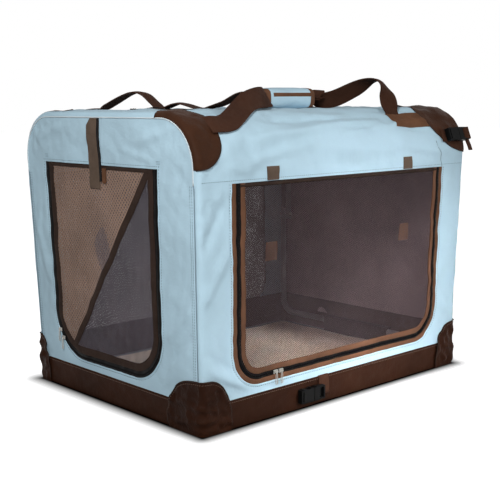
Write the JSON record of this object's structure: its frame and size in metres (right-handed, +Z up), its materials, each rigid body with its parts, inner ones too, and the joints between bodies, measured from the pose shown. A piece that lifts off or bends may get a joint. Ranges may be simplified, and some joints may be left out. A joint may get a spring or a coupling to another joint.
{
  "type": "folding pet crate",
  "caption": "Soft folding pet crate: a cloth box with mesh doors over a folding tube frame, with a padded mat and a carry handle.",
  "frame": {"origin": "centre of the crate's plan, on the floor it stands on", "axes": "+X along the length, from the end with the strapped door to the plain end; -Y out of the long side with the zip door; +Z up"},
  "size_m": [0.7033, 0.5283, 0.5867],
  "materials": {
    "brown_cloth": "dark brown woven polyester",
    "blue_cloth": "light blue woven polyester",
    "mesh": "dark polyester mesh",
    "webbing": "brown ribbed webbing",
    "coil": "black zip coil",
    "hook": "black hook and loop strip",
    "fleece": "taupe fleece over padding",
    "steel": "grey powder-coated tube",
    "plastic": "black moulded plastic",
    "pull": "bright zinc"
  },
  "bodies": {
    "base": {"base_tub": "brown_cloth", "base_frame": "steel", "floor_mat": "fleece", "left_base_hinge": "plastic", "right_base_hinge": "plastic", "front_left_bottom_patch": "brown_cloth", "front_right_bottom_patch": "brown_cloth", "back_left_bottom_patch": "brown_cloth", "back_right_bottom_patch": "brown_cloth", "front_wall": "blue_cloth", "back_wall": "blue_cloth", "left_end_wall": "blue_cloth", "right_end_wall": "blue_cloth", "back_window": "mesh", "right_window": "mesh", "front_zip_tape": "webbing", "front_zip_coil": "coil", "left_zip_coil": "coil", "base_buckle_webbing": "webbing", "base_buckle_socket": "plastic"},
    "left_lower": {"left_lower_frame": "steel"},
    "left_upper": {"left_upper_frame": "steel"},
    "right_lower": {"right_lower_frame": "steel"},
    "right_upper": {"right_upper_frame": "steel"},
    "roof": {"roof_panel": "blue_cloth", "roof_frame": "steel", "left_roof_hinge": "plastic", "right_roof_hinge": "plastic", "front_left_top_patch": "brown_cloth", "front_right_top_patch": "brown_cloth", "back_left_top_patch": "brown_cloth", "back_right_top_patch": "brown_cloth", "hem_tab_left": "webbing", "hem_tab_right": "webbing", "roof_zip_coil": "coil", "top_buckle_webbing": "webbing", "top_buckle_socket": "plastic"},
    "front_door": {"front_door_binding": "webbing", "front_door_mesh": "mesh", "front_door_tab_left": "webbing", "front_door_tab_right": "webbing"},
    "left_door": {"left_door_binding": "brown_cloth", "left_door_mesh": "mesh", "left_door_lining": "mesh"},
    "door_strap": {"left_door_strap": "webbing", "left_door_hook_strip": "hook"},
    "handle": {"handle_grip": "blue_cloth", "handle_strap_front": "brown_cloth", "handle_strap_back": "brown_cloth"},
    "front_left_slider": {"front_slider_left": "pull"},
    "front_left_pull": {"front_pull_left": "pull"},
    "front_right_slider": {"front_slider_right": "pull"},
    "front_right_pull": {"front_pull_right": "pull"},
    "left_upper_slider": {"left_slider_upper": "pull"},
    "left_upper_pull": {"left_pull_upper": "pull"},
    "left_lower_slider": {"left_slider_lower": "pull"},
    "left_lower_pull": {"left_pull_lower": "pull"},
    "roof_zip_slider": {"roof_slider": "pull"},
    "base_plug": {"base_buckle_plug": "plastic"},
    "top_plug": {"top_buckle_plug": "plastic"}
  },
  "joints": [
    {"name": "frame_fold", "type": "hinge", "parent": "base", "child": "left_lower", "pos_m": [-0.32, 0, 0.04], "axis": [0, -1, 0], "range_deg": [-76, 0], "deforming": ["front_wall", "back_wall", "left_end_wall", "right_end_wall", "back_window", "right_window", "front_zip_tape", "front_zip_coil", "left_zip_coil", "front_door_binding", "front_door_mesh", "front_door_tab_left", "front_door_tab_right", "left_door_binding", "left_door_mesh", "left_door_lining"]},
    {"name": "left_knee", "type": "hinge", "parent": "left_lower", "child": "left_upper", "pos_m": [-0.32, 0, 0.2744], "axis": [0, 1, 0], "range_deg": [-152, 0]},
    {"name": "roof_level", "type": "hinge", "parent": "left_upper", "child": "roof", "pos_m": [-0.32, 0, 0.5088], "axis": [0, 1, 0], "range_deg": [0, 76]},
    {"name": "right_fold", "type": "hinge", "parent": "base", "child": "right_lower", "pos_m": [0.32, 0, 0.04], "axis": [0, 1, 0], "range_deg": [-76, 0]},
    {"name": "right_knee", "type": "hinge", "parent": "right_lower", "child": "right_upper", "pos_m": [0.32, 0, 0.2744], "axis": [0, 1, 0], "range_deg": [0, 152]},
    {"name": "front_door_swing", "type": "hinge", "parent": "roof", "child": "front_door", "pos_m": [0, -0.25546, 0.4087], "axis": [-1, 0, 0], "range_deg": [0, 95]},
    {"name": "left_door_swing", "type": "hinge", "parent": "roof", "child": "left_door", "pos_m": [-0.34587, 0.01486, 0.431], "axis": [0, 1, 0], "range_deg": [0, 95]},
    {"name": "door_strap_swing", "type": "hinge", "parent": "roof", "child": "door_strap", "pos_m": [-0.34998, 0.02997, 0.512], "axis": [0, 1, 0], "range_deg": [0, 95]},
    {"name": "handle_lift", "type": "slide", "parent": "roof", "child": "handle", "axis": [0, 0, 1], "range_m": [0, 0.04], "deforming": ["handle_strap_front", "handle_strap_back"]},
    {"name": "front_slider_left_slide", "type": "slide", "parent": "base", "child": "front_left_slider", "axis": [1, 0, 0], "range_m": [-0.03, 0]},
    {"name": "front_pull_left_swing", "type": "hinge", "parent": "front_left_slider", "child": "front_left_pull", "pos_m": [-0.17347, -0.25223, 0.0801], "axis": [-1, 0, 0], "range_deg": [0, 180]},
    {"name": "front_slider_right_slide", "type": "slide", "parent": "base", "child": "front_right_slider", "axis": [1, 0, 0], "range_m": [0, 0.36]},
    {"name": "front_pull_right_swing", "type": "hinge", "parent": "front_right_slider", "child": "front_right_pull", "pos_m": [-0.16094, -0.25223, 0.0801], "axis": [-1, 0, 0], "range_deg": [0, 180]},
    {"name": "left_slider_upper_slide", "type": "hinge", "parent": "base", "child": "left_upper_slider", "pos_m": [-0.33962, 0.09713, 0.151], "axis": [0.9996, 0, 0.0287], "range_deg": [0, 26]},
    {"name": "left_pull_upper_swing", "type": "hinge", "parent": "left_upper_slider", "child": "left_upper_pull", "pos_m": [-0.34231, 0.16624, 0.11241], "axis": [0, 1, 0], "range_deg": [0, 180]},
    {"name": "left_slider_lower_slide", "type": "hinge", "parent": "base", "child": "left_lower_slider", "pos_m": [-0.33962, 0.09713, 0.151], "axis": [0.9996, 0, 0.0287], "range_deg": [-48, 0]},
    {"name": "left_pull_lower_swing", "type": "hinge", "parent": "left_lower_slider", "child": "left_lower_pull", "pos_m": [-0.3419, 0.1568, 0.09816], "axis": [0, 1, 0], "range_deg": [0, 180]},
    {"name": "roof_slider_slide", "type": "slide", "parent": "roof", "child": "roof_zip_slider", "axis": [1, 0, 0], "range_m": [-0.012, 0.478]},
    {"name": "base_buckle_release", "type": "slide", "parent": "base", "child": "base_plug", "axis": [1, 0, 0], "range_m": [0, 0.03]},
    {"name": "top_buckle_release", "type": "slide", "parent": "roof", "child": "top_plug", "axis": [1, 0, 0], "range_m": [0, 0.03]}
  ],
  "couplings": [
    {"joint": "left_knee", "follows": "frame_fold", "ratio": 2},
    {"joint": "roof_level", "follows": "frame_fold", "ratio": -1},
    {"joint": "right_fold", "follows": "frame_fold", "ratio": 1},
    {"joint": "right_knee", "follows": "frame_fold", "ratio": -2},
    {"joint": "door_strap_swing", "follows": "left_door_swing", "ratio": 1}
  ]
}
